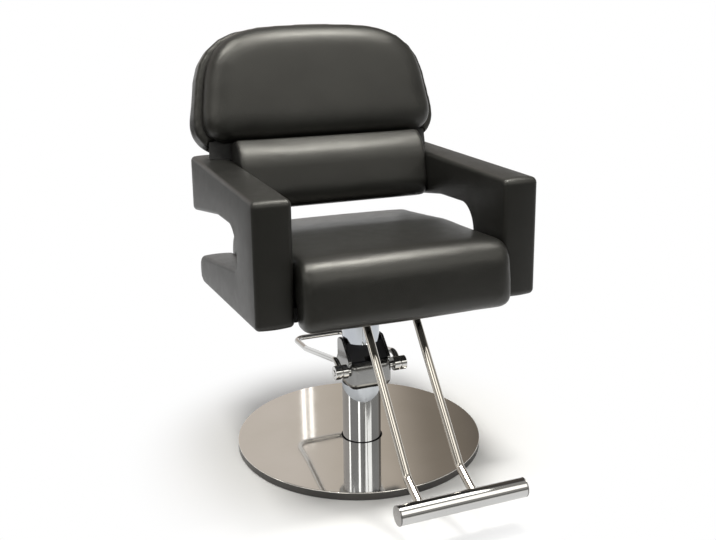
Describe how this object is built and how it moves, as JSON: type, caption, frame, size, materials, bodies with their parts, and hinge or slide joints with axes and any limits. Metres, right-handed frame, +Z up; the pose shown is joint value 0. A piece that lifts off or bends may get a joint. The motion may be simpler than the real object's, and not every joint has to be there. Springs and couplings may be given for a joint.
{
  "type": "hairdressing chair",
  "caption": "Padded hairdressing chair with arm panels, lumbar roll and footrest, on a swivelling hydraulic pump with a foot lever and a round base.",
  "frame": {"origin": "on the pump's axis at the floor, on the base's underside", "axes": "+Z up along the pump's axis; the sitter faces -Y; +X is the sitter's left"},
  "size_m": [0.638, 0.8778, 0.9941],
  "materials": {
    "black_leatherette": "fine-grained black upholstery, semi-gloss",
    "polished_stainless": "polished",
    "chrome": "bright",
    "dark_steel": "dark zinc",
    "bearing_bronze": "turned",
    "nylon": "moulded",
    "rubber": "matt",
    "black_covered_board": "covered in black cloth"
  },
  "bodies": {
    "base": {"base_plate": "dark_steel", "base_cover": "polished_stainless", "column_flange": "dark_steel", "flange_bolt_1": "dark_steel", "flange_bolt_2": "dark_steel", "flange_bolt_3": "dark_steel", "flange_bolt_4": "dark_steel", "column_sleeve": "chrome", "guide_bush": "nylon", "wiper_seal": "rubber", "bearing_lower_race": "dark_steel", "bearing_cage": "bearing_bronze"},
    "ram": {"bearing_upper_race": "dark_steel", "ram_rod": "chrome", "piston": "dark_steel", "piston_seal": "rubber"},
    "chair": {"arm_left": "black_leatherette", "arm_right": "black_leatherette", "arm_stud_front_left": "dark_steel", "arm_stud_front_right": "dark_steel", "arm_stud_rear_left": "dark_steel", "arm_stud_rear_right": "dark_steel", "back_board": "black_covered_board", "back_pad": "black_leatherette", "back_shell": "black_leatherette", "back_stud_left": "dark_steel", "back_stud_right": "dark_steel", "cylinder_gland": "bearing_bronze", "footrest_bar": "chrome", "footrest_plug_left": "chrome", "footrest_plug_right": "chrome", "footrest_rod_left": "chrome", "footrest_rod_right": "chrome", "footrest_strap_front": "dark_steel", "footrest_strap_rear": "dark_steel", "guide_ring": "nylon", "lumbar_roll": "black_leatherette", "mount_post": "chrome", "plunger_spring": "dark_steel", "post_socket": "dark_steel", "pump_body": "chrome", "pump_cylinder": "dark_steel", "pump_head": "chrome", "roll_stud_left": "dark_steel", "roll_stud_right": "dark_steel", "seat_board": "black_covered_board", "seat_bolt_1": "dark_steel", "seat_bolt_2": "dark_steel", "seat_bolt_3": "dark_steel", "seat_bolt_4": "dark_steel", "seat_cushion": "black_leatherette", "seat_plate": "dark_steel", "strap_bolt_front": "dark_steel", "strap_bolt_rear": "dark_steel"},
    "lever": {"pump_lever": "chrome", "lever_shaft": "chrome", "lever_collar_left": "chrome", "lever_collar_right": "chrome", "pump_cam": "dark_steel"},
    "plunger": {"pump_plunger": "dark_steel"}
  },
  "joints": [
    {"name": "swivel", "type": "hinge", "parent": "base", "child": "ram", "pos_m": [0, 0, 0], "axis": [0, 0, 1], "continuous": true},
    {"name": "lift", "type": "slide", "parent": "ram", "child": "chair", "axis": [0, 0, 1], "range_m": [0, 0.11]},
    {"name": "lever_press", "type": "hinge", "parent": "chair", "child": "lever", "pos_m": [0, -0.057, 0.2145], "axis": [-1, 0, 0], "range_deg": [0, 18], "stiffness_Nm_per_rad": 6, "springref_deg": -34.38},
    {"name": "plunger_stroke", "type": "slide", "parent": "chair", "child": "plunger", "axis": [0, 0, -1], "range_m": [0, 0.0026], "deforming": ["plunger_spring"]}
  ],
  "couplings": [
    {"joint": "plunger_stroke", "follows": "lever_press", "m_per_rad": 0.008}
  ]
}
